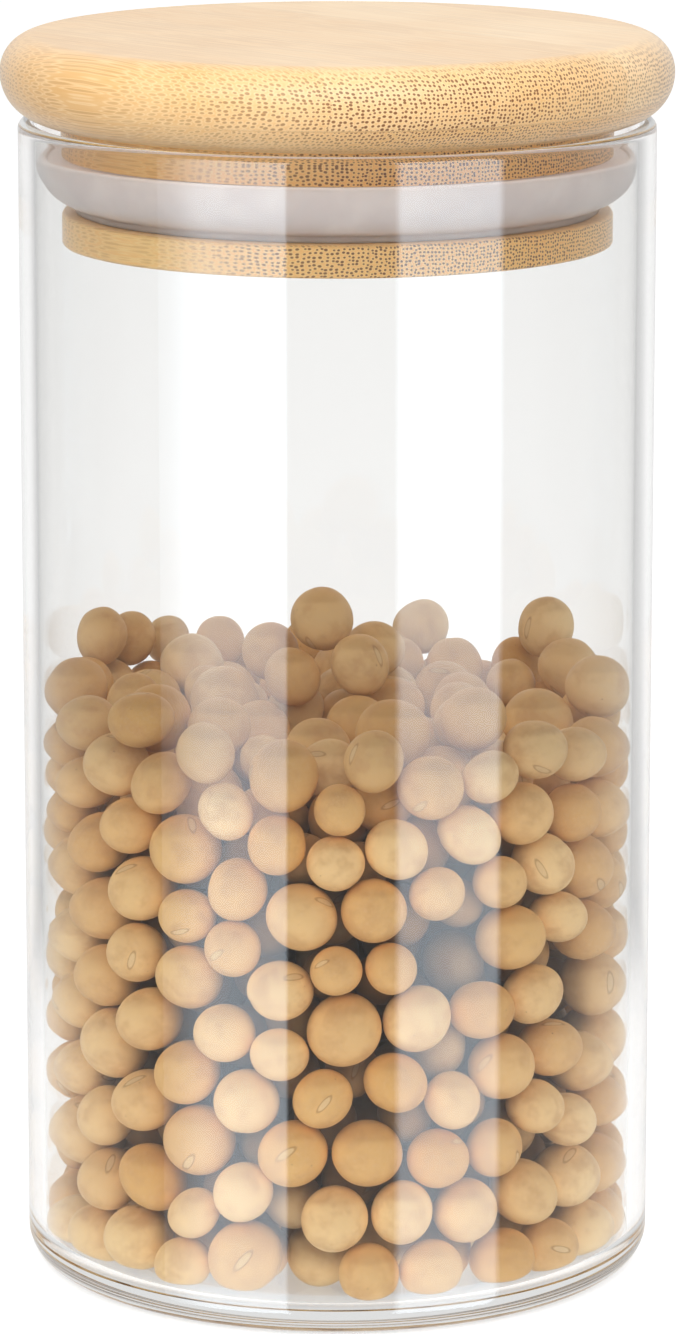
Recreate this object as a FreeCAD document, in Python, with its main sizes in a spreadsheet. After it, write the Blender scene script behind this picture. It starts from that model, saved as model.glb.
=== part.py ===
import FreeCAD, Part
import math
import os

import Sketcher

# Lidded glass canister: a blown glass jar, closed by a bamboo lid with a silicone lip seal, half full of
# soybeans. The frame is +Z up, with its origin on the axis at the surface that the jar stands on.
# Every length is in millimetres.

SIZES = [
    ("jar_radius", 42.5, "outer radius of the glass cylinder"),
    ("jar_wall", 2.4, "thickness of the glass wall"),
    ("jar_height", 156.15, "height of the rim above the surface"),
    ("jar_floor", 2.8, "thickness of the glass floor"),
    ("heel_radius", 4.0, "rounding of the heel outside"),
    ("corner_radius", 3.2, "rounding of the floor's corner inside"),
    ("rim_radius", 1.15, "fire-polished rounding of both edges of the rim"),
    ("pushup_radius", 31.0, "radius of the shallow hollow under the base"),
    ("pushup_depth", 0.8, "depth of the hollow under the base at the axis"),
    ("rim_gap", 0.1, "clearance between the rim and the lid's disc"),
    ("disc_radius", 44.8, "radius of the lid's disc"),
    ("disc_thickness", 11.25, "thickness of the lid's disc"),
    ("disc_top_round", 4.9, "rounding of the disc's upper edge"),
    ("disc_under_round", 6.2, "rounding of the disc's lower edge"),
    ("flange_radius", 36.8, "radius of both flanges of the plug"),
    ("upper_flange", 4.45, "thickness of the flange above the seal"),
    ("groove_height", 7.5, "height of the groove that holds the seal"),
    ("lower_flange", 4.3, "thickness of the flange below the seal"),
    ("groove_radius", 33.0, "radius of the plug's core inside the groove"),
    ("flange_round", 0.5, "rounding of the lower flange's edges"),
    ("seal_fit", 0.05, "running clearance between the seal's bore and the plug's core"),
    ("seal_slack", 0.1, "clearance between the seal's band and each side of the groove"),
    ("band_radius", 35.0, "outer radius of the seal's band"),
    ("lip_radius", 6.4, "radius of the outer curve of the seal's lip"),
    ("lip_reach", 39.98, "radius of the seal at the lip"),
    ("bead_width", 1.2, "width of the rounded bead round the top of the seal's lip"),
    ("lip_height", 7.1, "height of the lip's curve centre above the band's foot"),
    ("fill_gap", 0.3, "clearance between the soybeans' bulk and the glass"),
    ("fill_side", 73.0, "height of the soybeans' bulk at the glass"),
    ("fill_crown", 8.0, "rise of the soybeans' bulk from the glass to the axis"),
]

DISC_UNDERSIDE = "Sizes.jar_height + Sizes.rim_gap"
PLUG_DEPTH = "(Sizes.upper_flange + Sizes.groove_height + Sizes.lower_flange)"
SEAL_BORE = "Sizes.groove_radius + Sizes.seal_fit"
BAND_HEIGHT = "Sizes.groove_height - 2 * Sizes.seal_slack"
LIP_CENTRE = "Sizes.lip_reach - Sizes.lip_radius"
FULL_TURN = 360
START = 1
END = 2
CENTRE = 3
ORIGIN_POINT = (-1, 1)
HORIZONTAL_AXIS = -1
VERTICAL_AXIS = -2
SAME_PLACE = 1e-6


def add_sheet(doc):
    """The spreadsheet of driving dimensions: what each one is, and its value under its alias."""
    sheet = doc.addObject("Spreadsheet::Sheet", "Sizes")
    for row, (alias, size, meaning) in enumerate(SIZES, start=1):
        sheet.set(f"A{row}", meaning)
        sheet.set(f"B{row}", str(size))
        sheet.setAlias(f"B{row}", alias)
    doc.recompute()
    return sheet


def add_body(doc, label, height):
    """An empty body named for its sub-part, lifted to its height on the axis."""
    body = doc.addObject("PartDesign::Body", label)
    body.Label = label
    body.setExpression("Placement.Base.z", height)
    return body


def origin_plane(body, role):
    return next(feature for feature in body.Origin.OriginFeatures if feature.Role == role)


def add_sketch(body, name, role):
    sketch = body.newObject("Sketcher::SketchObject", name)
    sketch.AttachmentSupport = [(origin_plane(body, role), "")]
    sketch.MapMode = "FlatFace"
    return sketch


def size_of(doc, expression):
    """The number that an expression over the sheet's aliases gives."""
    return float(doc.Sizes.evalExpression(expression))


def drive(sketch, constraint, expression):
    """Adds a constraint whose value follows an expression over the sheet's aliases."""
    index = sketch.addConstraint(constraint)
    sketch.setExpression(f"Constraints[{index}]", expression)


def pin_across(sketch, place, expression):
    """Holds a point at a distance from the axis, or on the axis itself."""
    if expression == "0":
        sketch.addConstraint(Sketcher.Constraint("PointOnObject", *place, VERTICAL_AXIS))
    else:
        distance = size_of(sketch.Document, expression)
        drive(sketch, Sketcher.Constraint("DistanceX", *ORIGIN_POINT, *place, distance), expression)


def pin_up(sketch, place, expression):
    """Holds a point at a height above the body's own base plane, or on that plane."""
    if expression == "0":
        sketch.addConstraint(Sketcher.Constraint("PointOnObject", *place, HORIZONTAL_AXIS))
    else:
        height = size_of(sketch.Document, expression)
        drive(sketch, Sketcher.Constraint("DistanceY", *ORIGIN_POINT, *place, height), expression)


def section_point(doc, corner):
    """A corner of a section, given as expressions for its radius and height, as a vector in the sketch."""
    return FreeCAD.Vector(size_of(doc, corner[0]), size_of(doc, corner[1]), 0)


def draw_outline(sketch, corners):
    """A closed outline of straight lines whose corners all follow the sheet."""
    points = [section_point(sketch.Document, corner) for corner in corners]
    lines = [Part.LineSegment(points[i - 1], points[i]) for i in range(len(points))]
    first = sketch.addGeometry(lines, False)[0]
    for i, (across, up) in enumerate(corners):
        following = first + (i + 1) % len(corners)
        sketch.addConstraint(Sketcher.Constraint("Coincident", first + i, END, following, START))
        pin_across(sketch, (first + i, END), across)
        pin_up(sketch, (first + i, END), up)


def revolve(body, sketch, kind, name):
    """Turns a section about the axis: a Revolution adds material and a Groove takes it away."""
    feature = body.newObject(kind, name)
    feature.Profile = sketch
    feature.ReferenceAxis = (sketch, ["V_Axis"])
    feature.Angle = FULL_TURN
    body.Document.recompute()
    return feature


def circle_at(shape, radius, height):
    """The name of the circular edge of that radius at that height in the body's own frame."""
    for number, edge in enumerate(shape.Edges, start=1):
        curve = edge.Curve
        if not isinstance(curve, Part.Circle):
            continue
        if abs(curve.Radius - radius) < SAME_PLACE and abs(curve.Center.z - height) < SAME_PLACE:
            return f"Edge{number}"
    raise RuntimeError(f"no circular edge of radius {radius} at height {height}")


def round_edges(body, name, base, circles, radius):
    """Fillets the circular edges at the stated radii and heights."""
    doc = body.Document
    edges = [circle_at(base.Shape, size_of(doc, across), size_of(doc, up)) for across, up in circles]
    fillet = body.newObject("PartDesign::Fillet", name)
    fillet.Base = (base, edges)
    fillet.setExpression("Radius", radius)
    doc.recompute()
    return fillet


def make_glass_jar(doc):
    """The wall, floor and rim in one turned section, then the hollow under the base and the roundings."""
    body = add_body(doc, "glass_jar", "0")
    inner = "Sizes.jar_radius - Sizes.jar_wall"
    section = add_sketch(body, "jar_section", "XZ_Plane")
    draw_outline(section, [
        ("0", "0"),
        ("Sizes.jar_radius", "0"),
        ("Sizes.jar_radius", "Sizes.jar_height"),
        (inner, "Sizes.jar_height"),
        (inner, "Sizes.jar_floor"),
        ("0", "Sizes.jar_floor"),
    ])
    blank = revolve(body, section, "PartDesign::Revolution", "jar_blank")
    heel = round_edges(body, "heel", blank, [("Sizes.jar_radius", "0")], "Sizes.heel_radius")
    corner = round_edges(body, "floor_corner", heel, [(inner, "Sizes.jar_floor")], "Sizes.corner_radius")
    rim = [("Sizes.jar_radius", "Sizes.jar_height"), (inner, "Sizes.jar_height")]
    round_edges(body, "polished_rim", corner, rim, "Sizes.rim_radius")
    cut_pushup(body)
    return body


def cut_pushup(body):
    """A shallow dished hollow under the base, so that the jar stands on a ring."""
    doc = body.Document
    reach = size_of(doc, "Sizes.pushup_radius")
    depth = size_of(doc, "Sizes.pushup_depth")
    sketch = add_sketch(body, "pushup_section", "XZ_Plane")
    axis_foot = FreeCAD.Vector(0, 0, 0)
    crown = FreeCAD.Vector(0, depth, 0)
    edge = FreeCAD.Vector(reach, 0, 0)
    dish_radius = (reach ** 2 + depth ** 2) / (2 * depth)
    centre = FreeCAD.Vector(0, depth - dish_radius, 0)
    across_dish = edge - centre
    dish = Part.Circle(centre, FreeCAD.Vector(0, 0, 1), dish_radius)
    edge_angle = FreeCAD.Vector(1, 0, 0).getAngle(across_dish)
    crown_angle = FreeCAD.Vector(1, 0, 0).getAngle(crown - centre)
    base_line = sketch.addGeometry(Part.LineSegment(axis_foot, edge), False)
    arc = sketch.addGeometry(Part.ArcOfCircle(dish, edge_angle, crown_angle), False)
    axis_line = sketch.addGeometry(Part.LineSegment(crown, axis_foot), False)
    sketch.addConstraint(Sketcher.Constraint("Coincident", base_line, END, arc, START))
    sketch.addConstraint(Sketcher.Constraint("Coincident", arc, END, axis_line, START))
    sketch.addConstraint(Sketcher.Constraint("Coincident", axis_line, END, base_line, START))
    sketch.addConstraint(Sketcher.Constraint("Coincident", base_line, START, *ORIGIN_POINT))
    sketch.addConstraint(Sketcher.Constraint("PointOnObject", arc, CENTRE, VERTICAL_AXIS))
    pin_across(sketch, (base_line, END), "Sizes.pushup_radius")
    pin_up(sketch, (base_line, END), "0")
    pin_across(sketch, (axis_line, START), "0")
    pin_up(sketch, (axis_line, START), "Sizes.pushup_depth")
    revolve(body, sketch, "PartDesign::Groove", "pushup")


def make_lid_disc(doc):
    """A plain round board with both edges rounded over."""
    body = add_body(doc, "lid_disc", DISC_UNDERSIDE)
    outline = add_sketch(body, "disc_outline", "XY_Plane")
    radius = size_of(doc, "Sizes.disc_radius")
    circle = outline.addGeometry(Part.Circle(FreeCAD.Vector(0, 0, 0), FreeCAD.Vector(0, 0, 1), radius), False)
    outline.addConstraint(Sketcher.Constraint("Coincident", circle, CENTRE, *ORIGIN_POINT))
    drive(outline, Sketcher.Constraint("Radius", circle, radius), "Sizes.disc_radius")
    board = body.newObject("PartDesign::Pad", "board")
    board.Profile = outline
    board.setExpression("Length", "Sizes.disc_thickness")
    doc.recompute()
    top_edge = [("Sizes.disc_radius", "Sizes.disc_thickness")]
    under_edge = [("Sizes.disc_radius", "0")]
    rounded_top = round_edges(body, "top_round", board, top_edge, "Sizes.disc_top_round")
    round_edges(body, "under_round", rounded_top, under_edge, "Sizes.disc_under_round")
    return body


def make_lid_plug(doc):
    """A turned plug under the disc, its seal groove cut between two flanges."""
    body = add_body(doc, "lid_plug", f"{DISC_UNDERSIDE} - {PLUG_DEPTH}")
    outline = add_sketch(body, "plug_section", "XZ_Plane")
    draw_outline(outline, [
        ("0", "0"),
        ("Sizes.flange_radius", "0"),
        ("Sizes.flange_radius", PLUG_DEPTH),
        ("0", PLUG_DEPTH),
    ])
    blank = revolve(body, outline, "PartDesign::Revolution", "plug_blank")
    groove_top = "Sizes.lower_flange + Sizes.groove_height"
    section = add_sketch(body, "groove_section", "XZ_Plane")
    draw_outline(section, [
        ("Sizes.groove_radius", "Sizes.lower_flange"),
        ("Sizes.flange_radius", "Sizes.lower_flange"),
        ("Sizes.flange_radius", groove_top),
        ("Sizes.groove_radius", groove_top),
    ])
    groove = revolve(body, section, "PartDesign::Groove", "seal_groove")
    lower_edges = [("Sizes.flange_radius", "0"), ("Sizes.flange_radius", "Sizes.lower_flange")]
    round_edges(body, "flange_edges", groove, lower_edges, "Sizes.flange_round")
    if not groove.Shape.Volume < blank.Shape.Volume:
        raise RuntimeError("the seal groove took nothing away from the plug")
    return body


def seal_outline(doc):
    """The seal's section in order round its outline, from the foot of the band, out over the lip and back."""
    lip_radius = size_of(doc, "Sizes.lip_radius")
    bead_radius = size_of(doc, "Sizes.bead_width / 2")
    centre = section_point(doc, (LIP_CENTRE, "Sizes.lip_height"))
    bead_centre = centre + FreeCAD.Vector(lip_radius - bead_radius, 0, 0)
    normal = FreeCAD.Vector(0, 0, 1)
    root = -math.acos((size_of(doc, "Sizes.band_radius") - centre.x) / lip_radius)
    lip = Part.ArcOfCircle(Part.Circle(centre, normal, lip_radius), root, 0)
    bead = Part.ArcOfCircle(Part.Circle(bead_centre, normal, bead_radius), 0, math.pi)
    foot_inner = section_point(doc, (SEAL_BORE, "0"))
    foot_outer = section_point(doc, ("Sizes.band_radius", "0"))
    shelf_inner = section_point(doc, ("Sizes.band_radius", "Sizes.lip_height"))
    head_outer = section_point(doc, ("Sizes.band_radius", BAND_HEIGHT))
    head_inner = section_point(doc, (SEAL_BORE, BAND_HEIGHT))
    return [
        Part.LineSegment(foot_inner, foot_outer),
        Part.LineSegment(foot_outer, lip.StartPoint),
        lip,
        bead,
        Part.LineSegment(bead.EndPoint, shelf_inner),
        Part.LineSegment(shelf_inner, head_outer),
        Part.LineSegment(head_outer, head_inner),
        Part.LineSegment(head_inner, foot_inner),
    ]


def join_seal_outline(sketch, outline):
    """Closes the outline corner to corner, squares the band and levels the lip's top."""
    foot, step, lip, bead, shelf, face, head, wall = outline
    for number, part in enumerate(outline):
        following = outline[(number + 1) % len(outline)]
        sketch.addConstraint(Sketcher.Constraint("Coincident", part, END, following, START))
    for upright in (step, face, wall):
        sketch.addConstraint(Sketcher.Constraint("Vertical", upright))
    for level in (shelf, head):
        sketch.addConstraint(Sketcher.Constraint("Horizontal", level))
    for ending in ((lip, END), (bead, CENTRE), (bead, END)):
        sketch.addConstraint(Sketcher.Constraint("Horizontal", lip, CENTRE, *ending))


def make_seal_ring(doc):
    """A silicone ring: a band that sits in the groove, and a solid lip that flares up to the glass."""
    foot_height = f"{DISC_UNDERSIDE} - {PLUG_DEPTH} + Sizes.lower_flange + Sizes.seal_slack"
    body = add_body(doc, "seal_ring", foot_height)
    sketch = add_sketch(body, "seal_section", "XZ_Plane")
    outline = sketch.addGeometry(seal_outline(doc), False)
    join_seal_outline(sketch, outline)
    foot, _, lip, bead, _, face, head, _ = outline
    pin_across(sketch, (foot, START), SEAL_BORE)
    pin_up(sketch, (foot, START), "0")
    pin_across(sketch, (foot, END), "Sizes.band_radius")
    pin_up(sketch, (foot, END), "0")
    pin_across(sketch, (face, END), "Sizes.band_radius")
    pin_up(sketch, (head, END), BAND_HEIGHT)
    pin_across(sketch, (lip, CENTRE), LIP_CENTRE)
    pin_up(sketch, (lip, CENTRE), "Sizes.lip_height")
    for curve, radius in ((lip, "Sizes.lip_radius"), (bead, "Sizes.bead_width / 2")):
        drive(sketch, Sketcher.Constraint("Radius", curve, size_of(doc, radius)), radius)
    revolve(body, sketch, "PartDesign::Revolution", "seal")
    return body


def make_soybean_fill(doc):
    """The soybeans as one bulk solid: flat below, heaped a little towards the axis."""
    body = add_body(doc, "soybean_fill", "Sizes.jar_floor + Sizes.fill_gap")
    reach = "Sizes.jar_radius - Sizes.jar_wall - Sizes.fill_gap"
    section = add_sketch(body, "fill_section", "XZ_Plane")
    draw_outline(section, [
        ("0", "0"),
        (reach, "0"),
        (reach, "Sizes.fill_side"),
        ("0", "Sizes.fill_side + Sizes.fill_crown"),
    ])
    heap = revolve(body, section, "PartDesign::Revolution", "heap")
    round_edges(body, "fill_corner", heap, [(reach, "0")], "Sizes.corner_radius")
    return body


def check_document(doc, bodies):
    """Stops if any feature failed, or if a sub-part isn't one sound solid."""
    failed = [item.Name for item in doc.Objects if {"Invalid", "Error"} & set(item.State)]
    if failed:
        raise RuntimeError(f"failed features: {', '.join(failed)}")
    for body in bodies:
        if body.Shape.isNull() or not body.Shape.isValid() or len(body.Shape.Solids) != 1:
            raise RuntimeError(f"{body.Label} isn't one valid solid")


def main():
    doc = FreeCAD.newDocument("GlassCanister")
    add_sheet(doc)
    bodies = [
        make_glass_jar(doc),
        make_lid_disc(doc),
        make_lid_plug(doc),
        make_seal_ring(doc),
        make_soybean_fill(doc),
    ]
    doc.recompute()
    check_document(doc, bodies)
    os.makedirs("parts", exist_ok=True)
    for body in bodies:
        body.Shape.exportStep(f"parts/{body.Label}.step")
        box = body.Shape.BoundBox
        print(f"{body.Label}: volume {body.Shape.Volume:.1f}, z {box.ZMin:.2f} to {box.ZMax:.2f}")


main()
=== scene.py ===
import math

import bmesh
import bpy
import numpy as np
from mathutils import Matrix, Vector


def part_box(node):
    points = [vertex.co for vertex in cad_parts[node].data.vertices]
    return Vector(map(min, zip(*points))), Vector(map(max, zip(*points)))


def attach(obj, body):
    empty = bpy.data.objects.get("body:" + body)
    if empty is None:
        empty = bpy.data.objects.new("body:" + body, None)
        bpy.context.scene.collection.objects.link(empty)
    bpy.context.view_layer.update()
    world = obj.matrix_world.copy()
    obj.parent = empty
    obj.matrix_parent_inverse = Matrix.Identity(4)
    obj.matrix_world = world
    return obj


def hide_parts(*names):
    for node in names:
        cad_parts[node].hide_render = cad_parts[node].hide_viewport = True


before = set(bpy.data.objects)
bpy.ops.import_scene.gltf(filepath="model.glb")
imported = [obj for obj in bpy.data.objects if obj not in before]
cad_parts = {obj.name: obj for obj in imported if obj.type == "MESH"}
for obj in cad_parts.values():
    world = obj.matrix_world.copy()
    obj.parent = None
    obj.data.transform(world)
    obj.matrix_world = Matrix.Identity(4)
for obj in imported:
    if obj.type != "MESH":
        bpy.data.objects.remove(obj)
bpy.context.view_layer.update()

# Lidded glass canister: a clear glass jar half full of soybeans, a bamboo lid and its silicone seal.
# Lengths below are in millimetres unless a name says otherwise, and MM turns them into the frame's metres.

MM = 0.001
JAR_LOW, JAR_HIGH = (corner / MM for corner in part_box("glass_jar"))
DISC_LOW, DISC_HIGH = (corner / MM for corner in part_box("lid_disc"))
PLUG_LOW, PLUG_HIGH = (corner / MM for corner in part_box("lid_plug"))
SEAL_LOW, SEAL_HIGH = (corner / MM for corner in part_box("seal_ring"))

JAR_RADIUS = JAR_HIGH.x
JAR_HEIGHT = JAR_HIGH.z
JAR_WALL = 2.4
JAR_FLOOR = 2.8
JAR_INSIDE = JAR_RADIUS - JAR_WALL
HEEL_RADIUS = 4.0
CORNER_RADIUS = 3.2
RIM_RADIUS = 1.15
PUSHUP_RADIUS = 31.0
PUSHUP_DEPTH = 0.8

DISC_RADIUS = DISC_HIGH.x
DISC_TOP_ROUND = 4.9
DISC_UNDER_ROUND = 6.2

FLANGE_RADIUS = PLUG_HIGH.x
LOWER_FLANGE = 4.3
GROOVE_HEIGHT = 7.5
GROOVE_RADIUS = 33.0
FLANGE_ROUND = 0.5
GROOVE_ROUND = 0.15

BAND_BORE = 33.05
BAND_RADIUS = 35.0
BAND_HEIGHT = 7.3
LIP_REACH = SEAL_HIGH.x
LIP_RADIUS = 6.4
BEAD_RADIUS = 0.6
LIP_HEIGHT = 7.1

AROUND = 288


# ---------------------------------------------------------------- outlines and turned meshes

def line(start, end, parts):
    """Points from start up to but not including end, closer together near both ends."""
    shares = [(1 - math.cos(math.pi * i / parts)) / 2 for i in range(parts)]
    return [(start[0] + (end[0] - start[0]) * t, start[1] + (end[1] - start[1]) * t) for t in shares]


def arc(centre, radius, start_deg, end_deg, parts=20):
    """Points along an arc from its start up to but not including its end."""
    angles = [math.radians(start_deg + (end_deg - start_deg) * i / parts) for i in range(parts)]
    return [(centre[0] + radius * math.cos(a), centre[1] + radius * math.sin(a)) for a in angles]


def lathe(name, outline, around=AROUND, warp=None):
    """A mesh turned about Z from an outline of (radius, height) points. A point on the axis becomes a pole,
    and an outline with no pole closes on itself. warp(x, y, z) may move the points a little."""
    turns = np.arange(around) * (2 * math.pi / around)
    points, rings = [], []
    for radius, height in outline:
        if radius < 1e-6:
            rings.append([len(points)])
            points.append((0.0, 0.0, height))
        else:
            rings.append(list(range(len(points), len(points) + around)))
            points.extend(zip(radius * np.cos(turns), radius * np.sin(turns), [height] * around))
    closed = all(len(ring) > 1 for ring in rings)
    faces = []
    for below, above in zip(rings, rings[1:] + (rings[:1] if closed else [])):
        for i in range(around):
            j = (i + 1) % around
            if len(below) == 1:
                faces.append((below[0], above[j], above[i]))
            elif len(above) == 1:
                faces.append((below[i], below[j], above[0]))
            else:
                faces.append((below[i], below[j], above[j], above[i]))
    coordinates = np.array(points, float)
    if warp is not None:
        coordinates = warp(coordinates)
    return mesh_object(name, coordinates * MM, faces)


def mesh_object(name, coordinates, faces):
    mesh = bpy.data.meshes.new(name)
    mesh.from_pydata(coordinates.tolist(), [], faces)
    mesh.polygons.foreach_set("use_smooth", [True] * len(mesh.polygons))
    mesh.update()
    made = bpy.data.objects.new(name, mesh)
    bpy.context.scene.collection.objects.link(made)
    return made


# ---------------------------------------------------------------- node materials

def new_material(name):
    material = bpy.data.materials.new(name)
    material.use_nodes = True
    material.node_tree.nodes.clear()
    return material, material.node_tree


def add(tree, kind, inputs=None, **settings):
    """A shader node of that kind, with its settings, and its inputs set to values or linked to sockets."""
    node = tree.nodes.new("ShaderNode" + kind)
    for key, value in settings.items():
        setattr(node, key, value)
    for key, value in (inputs or {}).items():
        if isinstance(value, bpy.types.NodeSocket):
            tree.links.new(value, node.inputs[key])
        else:
            node.inputs[key].default_value = value
    return node


def maths(tree, operation, first, second=0.0, third=0.0):
    return add(tree, "Math", {0: first, 1: second, 2: third}, operation=operation).outputs[0]


def remap(tree, value, low, high, to_low=0.0, to_high=1.0):
    inputs = {"Value": value, "From Min": low, "From Max": high, "To Min": to_low, "To Max": to_high}
    return add(tree, "MapRange", inputs, interpolation_type="SMOOTHSTEP").outputs["Result"]


def noise(tree, place, scale, detail, **more):
    """Noise from 0 to 1 at a place."""
    inputs = {"Vector": place, "Scale": scale, "Detail": detail, **more}
    return add(tree, "TexNoise", inputs).outputs["Fac"]


def blend(tree, share, first, second):
    """Two colours mixed by a share from 0 to 1."""
    node = add(tree, "Mix", data_type="RGBA", clamp_factor=True)
    for socket, value in (("Factor_Float", share), ("A_Color", first), ("B_Color", second)):
        target = next(item for item in node.inputs if item.identifier == socket)
        if isinstance(value, bpy.types.NodeSocket):
            tree.links.new(value, target)
        else:
            target.default_value = value
    return next(item for item in node.outputs if item.identifier == "Result_Color")


def finish_surface(tree, shader):
    add(tree, "OutputMaterial", {"Surface": shader.outputs[0]})


def colour(red, green, blue):
    """A colour given as display values from 0 to 255, in the linear values that shaders take."""
    def linear(value):
        share = value / 255
        return share / 12.92 if share <= 0.04045 else ((share + 0.055) / 1.055) ** 2.4
    return (linear(red), linear(green), linear(blue), 1.0)


TRAPPED_AFTER = 4


def clear_glass():
    """Polished borosilicate glass with the faintest uneven polish. Lamps shine through it unbent, and light
    still trapped inside after many reflections is let out, as the bright edges of real glass let it out."""
    material, tree = new_material("clear_glass")
    place = add(tree, "TexCoord").outputs["Object"]
    film = noise(tree, place, 45.0, 3.0, Roughness=0.6)
    roughness = remap(tree, film, 0.45, 0.8, 0.0, 0.012)
    glass = add(tree, "BsdfPrincipled", {
        "Base Color": (0.925, 0.923, 0.915, 1.0),
        "Roughness": roughness,
        "IOR": 1.47,
        "Transmission Weight": 1.0,
    })
    through = add(tree, "BsdfTransparent", {"Color": (0.95, 0.955, 0.95, 1.0)})
    path = add(tree, "LightPath")
    trapped = maths(tree, "GREATER_THAN", path.outputs["Ray Depth"], TRAPPED_AFTER)
    unbent = maths(tree, "MAXIMUM", path.outputs["Is Shadow Ray"], trapped)
    mixed = add(tree, "MixShader", {0: unbent, 1: glass.outputs[0], 2: through.outputs[0]})
    finish_surface(tree, mixed)
    return material


GRAIN_TURN = math.radians(49)
BUNDLE_SPACING = 0.55 * MM
STRIP_WIDTH = 21 * MM


def bundle_dots(tree, along, across, up, spacing, seed):
    """Fibre bundles as long rods that run nearly straight along the grain: a dark pore and a pale sheath."""
    drift = add(tree, "CombineXYZ", {
        0: maths(tree, "DIVIDE", along, 14 * MM),
        1: maths(tree, "DIVIDE", across, 9 * MM),
        2: maths(tree, "DIVIDE", up, 9 * MM),
    }).outputs[0]
    wander = add(tree, "TexNoise", {"Vector": drift, "Scale": 1.0, "Detail": 2.0}).outputs["Color"]
    shift = add(tree, "SeparateColor", {0: wander})
    aside = maths(tree, "MULTIPLY_ADD", shift.outputs[0], 1.1 * MM, across)
    aloft = maths(tree, "MULTIPLY_ADD", shift.outputs[1], 1.1 * MM, up)
    cells = add(tree, "CombineXYZ", {
        0: maths(tree, "DIVIDE", aside, spacing),
        1: maths(tree, "MULTIPLY_ADD", seed, 7.3, maths(tree, "DIVIDE", aloft, spacing)),
    }).outputs[0]
    settings = {"feature": "F1", "voronoi_dimensions": "2D"}
    bundle = add(tree, "TexVoronoi", {"Vector": cells, "Scale": 1.0, "Randomness": 0.5}, **settings)
    chance = add(tree, "SeparateColor", {0: bundle.outputs["Color"]}).outputs[0]
    distance = maths(tree, "MULTIPLY_ADD", chance, 0.12, bundle.outputs["Distance"])
    pore = remap(tree, distance, 0.44, 0.24)
    sheath = remap(tree, maths(tree, "ABSOLUTE", maths(tree, "SUBTRACT", distance, 0.47)), 0.14, 0.0)
    return pore, sheath


def bamboo(name, pale, deep, pore, spacing, ply_height, ply_shift, pore_depth):
    """Bamboo board as a solid texture: fibre bundles run straight through it, so a cut along them shows
    streaks and a cut across them shows dots. Strips lie side by side, and a ply joint lies at ply_height."""
    material, tree = new_material(name)
    where = add(tree, "TexCoord")
    turned = add(tree, "VectorRotate", {"Vector": where.outputs["Object"], "Angle": GRAIN_TURN},
                 rotation_type="Z_AXIS").outputs[0]
    normal = add(tree, "VectorRotate", {"Vector": where.outputs["Normal"], "Angle": GRAIN_TURN},
                 rotation_type="Z_AXIS").outputs[0]
    part = add(tree, "SeparateXYZ", {0: turned})
    facing = add(tree, "SeparateXYZ", {0: normal})
    along, across, up = part.outputs[0], part.outputs[1], part.outputs[2]
    end_grain = remap(tree, maths(tree, "ABSOLUTE", facing.outputs[0]), 0.05, 0.95)

    upper_ply = remap(tree, up, ply_height - 0.12 * MM, ply_height + 0.12 * MM)
    shifted = maths(tree, "ADD", across, maths(tree, "MULTIPLY", upper_ply, ply_shift))
    strip = maths(tree, "FLOOR", maths(tree, "DIVIDE", shifted, STRIP_WIDTH))
    strip_seed = maths(tree, "ADD", strip, maths(tree, "MULTIPLY", upper_ply, 17.0))
    strip_tone = add(tree, "TexWhiteNoise", {"W": strip_seed}, noise_dimensions="1D").outputs["Value"]
    ply_spacing = maths(tree, "MULTIPLY", spacing, remap(tree, upper_ply, 0.0, 1.0, 0.82, 1.0))
    dot, sheath = bundle_dots(tree, along, across, up, ply_spacing, strip_seed)

    fibres = add(tree, "CombineXYZ", {
        0: maths(tree, "DIVIDE", along, 30 * MM),
        1: maths(tree, "DIVIDE", across, 0.4 * MM),
        2: maths(tree, "DIVIDE", up, 0.4 * MM),
    }).outputs[0]
    fibre = noise(tree, fibres, 1.0, 3.0)
    cloud = noise(tree, turned, 38.0, 2.0)

    # Below the ply joint the colour is drawn darker, and the plug, whose joint lies above its top, is darker
    # all over.
    darker_below_joint = remap(tree, upper_ply, 0.0, 1.0, 0.36, 0.0)
    mixed_tone = maths(tree, "MULTIPLY_ADD", strip_tone, 0.35, darker_below_joint)
    tone = maths(tree, "ADD", mixed_tone, remap(tree, cloud, 0.3, 0.7, 0.0, 0.4))
    body = blend(tree, tone, pale, deep)
    streaked = blend(tree, remap(tree, fibre, 0.35, 0.75, 0.0, 0.4), body, deep)
    haloed = blend(tree, maths(tree, "MULTIPLY", sheath, 0.55), streaked, pale)
    patchy = remap(tree, cloud, 0.35, 0.65, 0.75, 1.0)
    strength = maths(tree, "MULTIPLY", patchy, remap(tree, end_grain, 0.0, 1.0, 0.18, pore_depth))
    dot_depth = maths(tree, "MULTIPLY", dot, strength)
    painted = blend(tree, dot_depth, haloed, pore)
    share = maths(tree, "FRACT", maths(tree, "DIVIDE", shifted, STRIP_WIDTH))
    edge = maths(tree, "ABSOLUTE", maths(tree, "SUBTRACT", share, 0.5))
    final = blend(tree, remap(tree, edge, 0.492, 0.499, 0.0, 0.1), painted, pore)

    height = maths(tree, "SUBTRACT", maths(tree, "MULTIPLY", fibre, 0.5), dot_depth)
    bump = add(tree, "Bump", {"Height": height, "Strength": 0.25, "Distance": 0.12 * MM})
    surface = add(tree, "BsdfPrincipled", {
        "Base Color": final,
        "Roughness": maths(tree, "MULTIPLY_ADD", fibre, 0.16, 0.4),
        "Specular IOR Level": 0.5,
        "Coat Weight": 0.85,
        "Coat Roughness": 0.3,
        "Normal": bump.outputs[0],
    })
    finish_surface(tree, surface)
    return material


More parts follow.
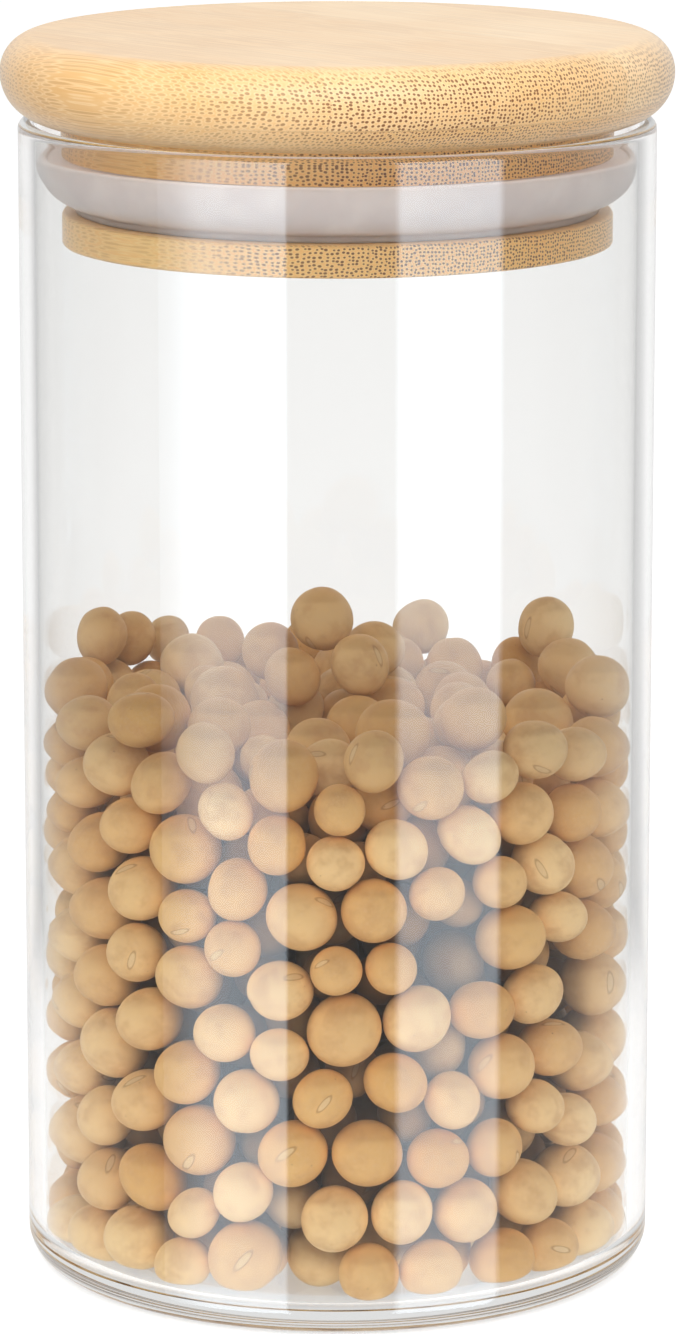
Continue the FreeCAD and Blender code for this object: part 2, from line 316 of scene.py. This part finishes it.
def silicone():
    """Milky silicone rubber, a little dusty, with fine moulding texture. Its upward faces carry a painted
    glow, an emission that stands in for light which enters its face and leaves through its top."""
    material, tree = new_material("silicone")
    place = add(tree, "TexCoord").outputs["Object"]
    dust = noise(tree, place, 160.0, 4.0)
    grain = noise(tree, place, 2600.0, 2.0)
    tint = blend(tree, remap(tree, dust, 0.35, 0.7), colour(216, 206, 203), colour(227, 218, 214))
    bump = add(tree, "Bump", {"Height": grain, "Strength": 0.08, "Distance": 0.05 * MM})
    painted_glow_facing = add(tree, "SeparateXYZ", {0: add(tree, "TexCoord").outputs["Normal"]}).outputs[2]
    surface = add(tree, "BsdfPrincipled", {
        "Base Color": tint,
        "Roughness": remap(tree, dust, 0.3, 0.7, 0.34, 0.5),
        "IOR": 1.41,
        "Subsurface Weight": 0.85,
        "Subsurface Radius": (1.0, 0.93, 0.9),
        "Subsurface Scale": 4.0 * MM,
        # Painted glow: an emission on upward faces that stands in for light let through the silicone.
        "Emission Color": colour(206, 208, 214),
        "Emission Strength": remap(tree, painted_glow_facing, 0.3, 0.95, 0.0, 0.26),
        "Normal": bump.outputs[0],
    })
    finish_surface(tree, surface)
    return material


def soybean_skin():
    """Dry soybean skins: each bean has its own tone, with mottling, an oval scar and a few specks. Skins
    deep in the heap carry painted shade, and skins at its top a lighter painted shadow of the lid."""
    material, tree = new_material("soybean_skin")
    local = add(tree, "Attribute", attribute_name="bean_local").outputs["Vector"]
    seed = add(tree, "Attribute", attribute_name="bean_seed").outputs["Fac"]
    own = add(tree, "VectorMath", {0: local, 1: add(tree, "CombineXYZ", {
        0: maths(tree, "MULTIPLY", seed, 91.0),
        1: maths(tree, "MULTIPLY", seed, 57.0),
        2: maths(tree, "MULTIPLY", seed, 33.0),
    }).outputs[0]}, operation="ADD").outputs[0]
    mottle = noise(tree, own, 1.3, 3.0, Roughness=0.6)
    fine = noise(tree, own, 9.0, 4.0, Roughness=0.7)

    tone = maths(tree, "FRACT", maths(tree, "MULTIPLY", seed, 7.77))
    warm = maths(tree, "FRACT", maths(tree, "MULTIPLY", seed, 13.31))
    base = blend(tree, tone, colour(254, 221, 164), colour(231, 183, 116))
    warmed = blend(tree, remap(tree, warm, 0.6, 1.0, 0.0, 0.6), base, colour(228, 174, 92))
    mottled = blend(tree, remap(tree, mottle, 0.4, 0.72, 0.0, 0.5), warmed, colour(208, 158, 104))
    grained = blend(tree, remap(tree, fine, 0.45, 0.75, 0.0, 0.3), mottled, colour(240, 205, 160))

    part = add(tree, "SeparateXYZ", {0: local})
    wide = maths(tree, "DIVIDE", part.outputs[1], 0.30)
    tall = maths(tree, "DIVIDE", part.outputs[2], 0.10)
    tall_squared = maths(tree, "MULTIPLY", tall, tall)
    reach = maths(tree, "SQRT", maths(tree, "MULTIPLY_ADD", wide, wide, tall_squared))
    side = maths(tree, "GREATER_THAN", part.outputs[0], 0.0)
    scar = maths(tree, "MULTIPLY", remap(tree, reach, 1.05, 0.85), side)
    off_outline = maths(tree, "ABSOLUTE", maths(tree, "SUBTRACT", reach, 1.1))
    outline = maths(tree, "MULTIPLY", remap(tree, off_outline, 0.3, 0.0), side)
    with_scar = blend(tree, maths(tree, "MULTIPLY", scar, 0.7), grained, colour(236, 208, 160))
    with_outline = blend(tree, maths(tree, "MULTIPLY", outline, 0.45), with_scar, colour(150, 98, 50))

    speck_cells = add(tree, "TexVoronoi", {"Vector": own, "Scale": 3.2, "Randomness": 1.0}, feature="F1")
    chosen = add(tree, "SeparateColor", {0: speck_cells.outputs["Color"]}).outputs[0]
    speck = maths(tree, "MULTIPLY", remap(tree, speck_cells.outputs["Distance"], 0.10, 0.03),
                  maths(tree, "GREATER_THAN", chosen, 0.9))
    speckled = blend(tree, maths(tree, "MULTIPLY", speck, 0.7), with_outline, colour(110, 66, 34))

    wrinkled = maths(tree, "FRACT", maths(tree, "MULTIPLY", seed, 29.7))
    wrinkle = noise(tree, own, 4.0, 2.0, Distortion=1.4)
    folds = maths(tree, "MULTIPLY", wrinkle, remap(tree, wrinkled, 0.7, 1.0, 0.03, 1.0))
    relief = maths(tree, "ADD", maths(tree, "MULTIPLY", fine, 0.12), folds)
    bump = add(tree, "Bump", {"Height": relief, "Strength": 0.25, "Distance": 0.2 * MM})
    # Painted shade: skins deep in the heap, and more lightly those at its top under the lid, are blended
    # towards dark brown.
    depth = add(tree, "Attribute", attribute_name="bean_painted_shade").outputs["Fac"]
    shaded = blend(tree, maths(tree, "MULTIPLY", depth, 0.68), speckled, colour(92, 56, 26))
    surface = add(tree, "BsdfPrincipled", {
        "Base Color": shaded,
        "Roughness": remap(tree, fine, 0.3, 0.7, 0.42, 0.56),
        "Specular IOR Level": 0.35,
        "Normal": bump.outputs[0],
    })
    finish_surface(tree, surface)
    return material


# ---------------------------------------------------------------- the jar, the lid and the seal

def stand_for(piece, node, body, material):
    piece.data.materials.append(material)
    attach(piece, body)
    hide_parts(node)
    return piece


def uneven_glass(points):
    """Drawn glass is never quite round: shallow waves run up the wall, a hundredth of a millimetre deep."""
    radius = np.hypot(points[:, 0], points[:, 1])
    turn = np.arctan2(points[:, 1], points[:, 0])
    wave = np.zeros(len(points))
    for count, depth, phase in ((5, 0.020, 0.4), (11, 0.010, 1.9), (23, 0.006, 4.1), (41, 0.003, 2.7)):
        wave += depth * np.sin(count * turn + phase + 0.004 * count * points[:, 2] / 10)
    inner = np.where(radius < JAR_RADIUS - JAR_WALL / 2, 0.6, -0.4)
    share = np.clip((radius - PUSHUP_RADIUS) / (JAR_INSIDE - PUSHUP_RADIUS), 0, 1)
    moved = points.copy()
    factor = 1 + np.where(radius > 0, wave * inner * share / np.maximum(radius, 1), 0)
    moved[:, :2] *= factor[:, None]
    return moved


def make_jar(material):
    dish = (PUSHUP_RADIUS ** 2 + PUSHUP_DEPTH ** 2) / (2 * PUSHUP_DEPTH)
    dish_edge = math.degrees(math.asin(PUSHUP_RADIUS / dish))
    top = JAR_HEIGHT
    outline = [
        *arc((0, PUSHUP_DEPTH - dish), dish, 90, 90 - dish_edge, 24),
        *line((PUSHUP_RADIUS, 0), (JAR_RADIUS - HEEL_RADIUS, 0), 8),
        *arc((JAR_RADIUS - HEEL_RADIUS, HEEL_RADIUS), HEEL_RADIUS, -90, 0, 24),
        *line((JAR_RADIUS, HEEL_RADIUS), (JAR_RADIUS, top - RIM_RADIUS), 40),
        *arc((JAR_RADIUS - RIM_RADIUS, top - RIM_RADIUS), RIM_RADIUS, 0, 90, 14),
        *line((JAR_RADIUS - RIM_RADIUS, top), (JAR_INSIDE + RIM_RADIUS, top), 1),
        *arc((JAR_INSIDE + RIM_RADIUS, top - RIM_RADIUS), RIM_RADIUS, 90, 180, 14),
        *line((JAR_INSIDE, top - RIM_RADIUS), (JAR_INSIDE, JAR_FLOOR + CORNER_RADIUS), 40),
        *arc((JAR_INSIDE - CORNER_RADIUS, JAR_FLOOR + CORNER_RADIUS), CORNER_RADIUS, 0, -90, 24),
        *line((JAR_INSIDE - CORNER_RADIUS, JAR_FLOOR), (0, JAR_FLOOR), 24),
        (0, JAR_FLOOR),
    ]
    jar = lathe("blown_glass_jar", outline, 384, uneven_glass)
    return stand_for(jar, "glass_jar", "jar", material)


def make_disc(material):
    low, high = DISC_LOW.z, DISC_HIGH.z
    outline = [
        *line((0, low), (DISC_RADIUS - DISC_UNDER_ROUND, low), 12),
        *arc((DISC_RADIUS - DISC_UNDER_ROUND, low + DISC_UNDER_ROUND), DISC_UNDER_ROUND, -90, 0, 24),
        *line((DISC_RADIUS, low + DISC_UNDER_ROUND), (DISC_RADIUS, high - DISC_TOP_ROUND), 2),
        *arc((DISC_RADIUS - DISC_TOP_ROUND, high - DISC_TOP_ROUND), DISC_TOP_ROUND, 0, 90, 24),
        *line((DISC_RADIUS - DISC_TOP_ROUND, high), (0, high), 16),
        (0, high),
    ]
    return stand_for(lathe("bamboo_lid_disc", outline), "lid_disc", "lid", material)


def make_plug(material):
    low, high = PLUG_LOW.z, PLUG_HIGH.z
    shelf = low + LOWER_FLANGE
    roof = shelf + GROOVE_HEIGHT
    edge, inset = FLANGE_ROUND, GROOVE_ROUND
    outline = [
        *line((0, low), (FLANGE_RADIUS - edge, low), 12),
        *arc((FLANGE_RADIUS - edge, low + edge), edge, -90, 0, 8),
        *line((FLANGE_RADIUS, low + edge), (FLANGE_RADIUS, shelf - edge), 6),
        *arc((FLANGE_RADIUS - edge, shelf - edge), edge, 0, 90, 8),
        *line((FLANGE_RADIUS - edge, shelf), (GROOVE_RADIUS + inset, shelf), 4),
        *arc((GROOVE_RADIUS + inset, shelf + inset), inset, -90, -180, 4),
        *line((GROOVE_RADIUS, shelf + inset), (GROOVE_RADIUS, roof - inset), 6),
        *arc((GROOVE_RADIUS + inset, roof - inset), inset, 180, 90, 4),
        *line((GROOVE_RADIUS + inset, roof), (FLANGE_RADIUS - inset, roof), 4),
        *arc((FLANGE_RADIUS - inset, roof + inset), inset, -90, 0, 4),
        *line((FLANGE_RADIUS, roof + inset), (FLANGE_RADIUS, high), 6),
        *line((FLANGE_RADIUS, high), (0, high), 12),
        (0, high),
    ]
    return stand_for(lathe("bamboo_lid_plug", outline), "lid_plug", "lid", material)


def make_seal(material):
    foot, head = SEAL_LOW.z, SEAL_LOW.z + BAND_HEIGHT
    lip_level = foot + LIP_HEIGHT
    centre = (LIP_REACH - LIP_RADIUS, lip_level)
    root = -math.degrees(math.acos((BAND_RADIUS - centre[0]) / LIP_RADIUS))
    lip_foot = lip_level + LIP_RADIUS * math.sin(math.radians(root))
    outline = [
        *line((BAND_BORE, foot), (BAND_RADIUS, foot), 4),
        *line((BAND_RADIUS, foot), (BAND_RADIUS, lip_foot), 2),
        *arc(centre, LIP_RADIUS, root, 0, 28),
        *arc((LIP_REACH - BEAD_RADIUS, lip_level), BEAD_RADIUS, 0, 180, 14),
        *line((LIP_REACH - 2 * BEAD_RADIUS, lip_level), (BAND_RADIUS, lip_level), 6),
        *line((BAND_RADIUS, lip_level), (BAND_RADIUS, head), 4),
        *line((BAND_RADIUS, head), (BAND_BORE, head), 4),
        *line((BAND_BORE, head), (BAND_BORE, foot), 6),
    ]
    return stand_for(lathe("silicone_seal", outline), "seal_ring", "seal", material)


# ---------------------------------------------------------------- the soybeans

BEAN_COUNT = 730
BEAN_RADIUS = 4.28
BEAN_SPREAD = 0.42
BEAN_LIMITS = (3.5, 5.1)
QUICK_STEPS, FULL_STEPS = 420, 620
GAPS = 26
BEAN_GAP = 0.05
DROP_HEIGHT = 170
FALL_PER_STEP = 0.08
OUTER_SHELL = 13.0
BEANS_PER_PIECE = 150
# Painted shade on the beans: the depth inside the glass where it starts and where it is full, the heap's top
# level and fade, and the share of painted lid shadow above that level.
PAINTED_SHADE_FROM, PAINTED_SHADE_TO = 3.4, 9.0
HEAP_SURFACE, HEAP_FADE = 68.0, 9.0
LID_SHADOW_SHARE = 0.4
HEAPED = [(-9, 3, 4.2), (5, 5, 4.4), (3, -6, 4.3), (-6, -6, 4.1), (-2, -1, 4.5)]


def close_pairs(centres, radii, reach):
    """The pairs of beans whose skins are within reach of each other."""
    apart = np.linalg.norm(centres[:, None] - centres[None], axis=2) - radii[:, None] - radii[None]
    return np.nonzero(np.triu(apart < reach, 1))


def push_apart(centres, radii, pairs, share):
    """Moves each overlapping pair apart by a share of its overlap each way."""
    first, second = pairs
    apart = centres[second] - centres[first]
    distance = np.linalg.norm(apart, axis=1)
    overlap = radii[first] + radii[second] - distance
    hit = overlap > 0
    move = apart[hit] / distance[hit, None] * (overlap[hit, None] * share)
    np.add.at(centres, second[hit], move)
    np.add.at(centres, first[hit], -move)


def keep_inside(centres, radii):
    """Brings beans back inside the glass wall and above its floor."""
    limit = JAR_INSIDE - BEAN_GAP - radii
    out = np.hypot(centres[:, 0], centres[:, 1])
    beyond = out > limit
    centres[beyond, :2] *= (limit[beyond] / out[beyond])[:, None]
    centres[:, 2] = np.maximum(centres[:, 2], JAR_FLOOR + BEAN_GAP + radii)


def settle_beans(radii, rng, steps):
    """Lets round beans fall into the jar and come to rest. Returns their centres."""
    count = len(radii)
    turn = rng.uniform(0, 2 * math.pi, count)
    out = (JAR_INSIDE - 5) * np.sqrt(rng.uniform(0, 1, count))
    height = JAR_FLOOR + 5 + rng.uniform(0, DROP_HEIGHT, count)
    centres = np.stack([out * np.cos(turn), out * np.sin(turn), height], 1)
    previous = centres.copy()
    for step in range(steps):
        if step % 6 == 0:
            pairs = close_pairs(centres, radii, 3.0)
        velocity = (centres - previous) * 0.93
        speed = np.linalg.norm(velocity, axis=1)
        velocity *= np.minimum(1, 1.2 / np.maximum(speed, 1e-9))[:, None]
        previous = centres.copy()
        centres = centres + velocity
        centres[:, 2] -= FALL_PER_STEP
        for _ in range(4):
            push_apart(centres, radii, pairs, 0.35)
            keep_inside(centres, radii)
    for _ in range(60):
        pairs = close_pairs(centres, radii, 0.6)
        for _ in range(10):
            push_apart(centres, radii, pairs, 0.3)
            keep_inside(centres, radii)
    return centres


def ball(subdivisions):
    """The points and triangles of a unit sphere."""
    shape = bmesh.new()
    bmesh.ops.create_icosphere(shape, subdivisions=subdivisions, radius=1.0)
    points = np.array([vertex.co[:] for vertex in shape.verts])
    faces = np.array([[vertex.index for vertex in face.verts] for face in shape.faces])
    shape.free()
    return points, faces


def bean_form(unit, rng):
    """One bean: an uneven egg with a shallow dent at its scar, and on some a split skin."""
    flat = rng.uniform(0.88, 0.98)
    long = rng.uniform(1.0, 1.05)
    points = unit * np.array([flat, long, rng.uniform(0.93, 1.0)])
    swell = np.ones(len(unit))
    for _ in range(4):
        direction = rng.normal(size=3)
        direction /= np.linalg.norm(direction)
        depth = rng.uniform(0.004, 0.014)
        swell += depth * np.sin(unit @ direction * rng.uniform(1.5, 3.5) + rng.uniform(0, 6))
    scar = np.exp(-(unit[:, 1] / 0.34) ** 2 - (unit[:, 2] / 0.15) ** 2) * (unit[:, 0] > 0)
    swell -= 0.035 * scar
    if rng.uniform() < 0.16:
        pole = rng.normal(size=3)
        pole /= np.linalg.norm(pole)
        side = np.cross(pole, [0.3, 0.5, 0.8])
        side /= np.linalg.norm(side)
        offset = unit @ pole + 0.06 * np.sin(5 * (unit @ side))
        window = np.clip(unit @ np.cross(pole, side) * 2.0 + 0.4, 0, 1)
        swell += window * (0.022 * np.tanh(offset / 0.035) - 0.02 * np.exp(-(offset / 0.05) ** 2))
    shaped = points * swell[:, None]
    return shaped / np.linalg.norm(shaped, axis=1).max()


def random_turn(rng):
    """A rotation matrix with every orientation equally likely."""
    matrix, upper = np.linalg.qr(rng.normal(size=(3, 3)))
    matrix *= np.sign(np.diag(upper))
    if np.linalg.det(matrix) < 0:
        matrix[:, 0] *= -1
    return matrix


def painted_shade_share(points):
    """The share of painted shade at points: 0 near the glass, rising to 1 deep inside the heap and to a
    smaller share, a painted shadow of the lid, at its top.
    """
    inward = np.minimum(JAR_INSIDE - np.hypot(points[:, 0], points[:, 1]), points[:, 2] - JAR_FLOOR)
    deep = np.clip((inward - PAINTED_SHADE_FROM) / (PAINTED_SHADE_TO - PAINTED_SHADE_FROM), 0, 1)
    below = np.clip((HEAP_SURFACE - points[:, 2]) / HEAP_FADE, 0, 1)
    above = np.clip((points[:, 2] - HEAP_SURFACE) / HEAP_FADE, 0, 1)
    return deep * below + LID_SHADOW_SHARE * above


def bean_piece(name, beans, unit, faces, material):
    """One mesh of several separate beans. Each is (centre, radius, seed), and each seed shapes its bean."""
    count = len(unit)
    points = np.empty((len(beans) * count, 3))
    local = np.tile(unit, (len(beans), 1))
    seeds = np.empty(len(beans) * count)
    for i, (centre, radius, seed) in enumerate(beans):
        rng = np.random.default_rng(seed)
        form = bean_form(unit, rng) @ random_turn(rng).T
        points[i * count:(i + 1) * count] = centre + form * radius
        seeds[i * count:(i + 1) * count] = rng.uniform()
    triangles = (faces[None] + np.arange(len(beans))[:, None, None] * count).reshape(-1, 3)
    piece = mesh_object(name, points * MM, triangles.tolist())
    local_attribute = piece.data.attributes.new("bean_local", "FLOAT_VECTOR", "POINT")
    local_attribute.data.foreach_set("vector", local.astype(np.float32).ravel())
    seed_attribute = piece.data.attributes.new("bean_seed", "FLOAT", "POINT")
    seed_attribute.data.foreach_set("value", seeds.astype(np.float32))
    # Painted shade for each point, which the skin material blends in.
    painted_shade_attribute = piece.data.attributes.new("bean_painted_shade", "FLOAT", "POINT")
    painted_shade_attribute.data.foreach_set("value", painted_shade_share(points).astype(np.float32))
    return stand_for(piece, "soybean_fill", "jar", material)


def resting_height(spot, radius, centres, radii):
    """How high a bean's centre is when it is lowered onto the heap at a spot."""
    out = np.hypot(centres[:, 0] - spot[0], centres[:, 1] - spot[1])
    touch = radii + radius
    under = out < touch
    return float(np.max(centres[under, 2] + np.sqrt(touch[under] ** 2 - out[under] ** 2)))


def open_gaps(centres, radii, rng):
    """Leaves out a few beans well below the surface, so that the heap isn't packed evenly."""
    deep = np.flatnonzero(centres[:, 2] < np.percentile(centres[:, 2], 75))
    kept = np.delete(np.arange(len(radii)), rng.choice(deep, GAPS, replace=False))
    return centres[kept], radii[kept]


def heap_up(centres, radii):
    """Sets a few more beans on top, one after another, near the axis."""
    for across, back, radius in HEAPED:
        height = resting_height((across, back), radius, centres, radii)
        centres = np.vstack([centres, (across, back, height)])
        radii = np.append(radii, radius)
    return centres, radii


def make_soybeans(material):
    rng = np.random.default_rng(7)
    radii = np.clip(rng.normal(BEAN_RADIUS, BEAN_SPREAD, BEAN_COUNT), *BEAN_LIMITS)
    centres = settle_beans(radii, rng, FULL_STEPS)
    centres, radii = open_gaps(centres, radii, rng)
    centres, radii = heap_up(centres, radii)
    seeds = rng.integers(0, 2 ** 31, len(radii))
    out = np.hypot(centres[:, 0], centres[:, 1])
    height = centres[:, 2]
    seen = (out > JAR_INSIDE - OUTER_SHELL) | (height > np.percentile(height, 88)) | (height < 10)
    order = np.argsort(height)
    shown = [(centres[i], radii[i], seeds[i]) for i in order if seen[i]]
    hidden = [(centres[i], radii[i], seeds[i]) for i in order if not seen[i]]
    unit, faces = ball(4)
    for start in range(0, len(shown), BEANS_PER_PIECE):
        layer = shown[start:start + BEANS_PER_PIECE]
        bean_piece(f"soybeans_outer_{start // BEANS_PER_PIECE + 1}", layer, unit, faces, material)
    bean_piece("soybeans_core", hidden, *ball(3), material)


# ---------------------------------------------------------------- the studio and the camera

def aimed(thing, target):
    """Turns a lamp, panel or camera so that it looks at a point."""
    direction = Vector(target) - thing.location
    thing.rotation_euler = direction.to_track_quat("-Z", "Y").to_euler()


def around(azimuth, distance, height):
    """A place round the jar, in metres. Azimuth 0 is towards the camera, and positive is to its right."""
    turn = math.radians(azimuth)
    return Vector((distance * math.sin(turn), -distance * math.cos(turn), height))


def add_lamp(name, place, width, height, watts):
    lamp = bpy.data.lights.new(name, "AREA")
    lamp.shape = "RECTANGLE"
    lamp.size, lamp.size_y = width, height
    lamp.energy = watts
    holder = bpy.data.objects.new(name, lamp)
    bpy.context.scene.collection.objects.link(holder)
    holder.location = place
    aimed(holder, (0, 0, 0.08))
    holder.visible_glossy = False
    holder.visible_camera = False
    holder.visible_transmission = False


def add_softbox(name, azimuth_from, azimuth_to, strength, fade_in, fade_out, jar):
    """A tall bright panel whose mirror image is a white band up the glass. It lights nothing else. It fades
    in from its left edge and out to its right edge over shares of its width."""
    distance, low, high = 1.2, -0.8, 1.0
    middle = (azimuth_from + azimuth_to) / 2
    half_turn = math.radians(azimuth_to - azimuth_from) / 2
    half_width, half_height = distance * math.sin(half_turn), (high - low) / 2
    corners = [(x * half_width, y * half_height, 0) for x, y in ((-1, -1), (1, -1), (1, 1), (-1, 1))]
    mesh = bpy.data.meshes.new(name)
    mesh.from_pydata(corners, [], [(0, 1, 2, 3)])
    panel = bpy.data.objects.new(name, mesh)
    bpy.context.scene.collection.objects.link(panel)
    panel.location = around(middle, distance * math.cos(half_turn), (low + high) / 2)
    aimed(panel, (0, 0, (low + high) / 2))
    material, tree = new_material(name)
    across = add(tree, "SeparateXYZ", {0: add(tree, "TexCoord").outputs["Generated"]}).outputs[0]
    left = remap(tree, across, 0.0, fade_in, 0.2, 1.0)
    right = remap(tree, across, 1.0 - fade_out, 1.0, 1.0, 0.2)
    glow = maths(tree, "MULTIPLY", maths(tree, "MULTIPLY", left, right), strength)
    finish_surface(tree, add(tree, "Emission", {"Color": (0.88, 1.0, 1.12, 1.0), "Strength": glow}))
    mesh.materials.append(material)
    panel.visible_camera = False
    panel.visible_diffuse = False
    panel.visible_transmission = False
    panel.visible_shadow = False
    lit = bpy.data.collections.new(name + "_lights")
    lit.objects.link(jar)
    panel.light_linking.receiver_collection = lit


def off_centre(tree, place, turn=0.0):
    """The angle in radians between a place and straight behind the jar, or that line turned to the right."""
    turned = add(tree, "VectorRotate", {"Vector": place, "Angle": turn}, rotation_type="Z_AXIS").outputs[0]
    part = add(tree, "SeparateXYZ", {0: turned})
    return maths(tree, "ARCTAN2", maths(tree, "ABSOLUTE", part.outputs[0]), part.outputs[1])


def make_world():
    """Soft light from all round: white behind and a little to the right, dim at the sides and in front."""
    world = bpy.data.worlds.new("studio")
    bpy.context.scene.world = world
    world.use_nodes = True
    tree = world.node_tree
    tree.nodes.clear()
    direction = add(tree, "TexCoord").outputs["Generated"]
    height = add(tree, "SeparateXYZ", {0: direction}).outputs[2]
    aside = off_centre(tree, direction, math.radians(12))
    behind = remap(tree, aside, math.radians(25), math.radians(110), 1.04, 0.24)
    overhead = remap(tree, height, 0.35, 0.95, 1.0, 0.55)
    sky = add(tree, "Background", {"Strength": maths(tree, "MULTIPLY", behind, overhead)})
    add(tree, "OutputWorld", {"Surface": sky.outputs[0]})


def make_floor():
    """A plain pale floor. As on a white photo table, it is lit from below round the jar and behind it."""
    bpy.ops.mesh.primitive_plane_add(size=12, location=(0, 0, 0))
    floor = bpy.context.object
    floor.name = "studio_floor"
    material, tree = new_material("studio_floor")
    place = add(tree, "TexCoord").outputs["Object"]
    behind = remap(tree, off_centre(tree, place), math.radians(20), math.radians(46), 1.0, 0.0)
    away = add(tree, "VectorMath", {0: place}, operation="LENGTH").outputs["Value"]
    near = remap(tree, away, 0.1, 0.25, 1.0, 0.0)
    # Painted shadow: the floor glows less under the jar's foot.
    painted_shadow_under_jar = remap(tree, away, (JAR_RADIUS - 4) * MM, JAR_RADIUS * MM, 0.6, 1.0)
    lit = remap(tree, maths(tree, "MAXIMUM", behind, near), 0.0, 1.0, 0.3, 0.88)
    finish_surface(tree, add(tree, "BsdfPrincipled", {
        "Base Color": (0.3, 0.3, 0.3, 1.0),
        "Roughness": 0.7,
        "Specular IOR Level": 0.1,
        "Emission Color": (1.0, 1.0, 1.0, 1.0),
        "Emission Strength": maths(tree, "MULTIPLY", lit, painted_shadow_under_jar),
    }))
    floor.data.materials.append(material)
    floor.visible_glossy = False


def make_studio(jar):
    make_floor()
    make_world()
    add_lamp("key_left", around(-18, 1.12, 1.1), 2.0, 1.2, 23)
    add_lamp("key_right", around(16, 1.12, 1.1), 2.0, 1.2, 14.5)
    add_lamp("overhead", Vector((0, 0.1, 1.4)), 1.2, 1.2, 1.5)
    add_softbox("softbox_left", -65.8, -17.6, 6.0, 0.45, 0.03, jar)
    add_softbox("softbox_right", 20.2, 61.0, 6.0, 0.08, 0.08, jar)


def make_camera():
    """Stands where the object's outlines put it: a long lens, a little above the lid."""
    distance, height, down = 813.2 * MM, 255.0 * MM, 12.05
    camera = bpy.data.cameras.new("camera")
    camera.lens = 165.57
    camera.sensor_width = 36
    camera.shift_x = 0.0016
    camera.clip_start, camera.clip_end = 0.05, 40
    holder = bpy.data.objects.new("camera", camera)
    bpy.context.scene.collection.objects.link(holder)
    holder.location = (0, -distance, height)
    holder.rotation_euler = (math.radians(90 - down), 0, 0)
    bpy.context.scene.camera = holder


jar = make_jar(clear_glass())
make_disc(bamboo("bamboo_board", colour(249, 216, 167), colour(226, 172, 98), colour(122, 66, 20),
                 BUNDLE_SPACING, DISC_LOW.z * MM + 3.4 * MM, 9 * MM, 0.95))
make_plug(bamboo("bamboo_plug", colour(255, 222, 154), colour(250, 188, 106), colour(106, 54, 14),
                 BUNDLE_SPACING * 1.1, PLUG_HIGH.z * MM + 1 * MM, 0.0, 1.0))
make_seal(silicone())
make_soybeans(soybean_skin())
make_studio(jar)
make_camera()
bpy.context.scene.view_settings.view_transform = "Standard"
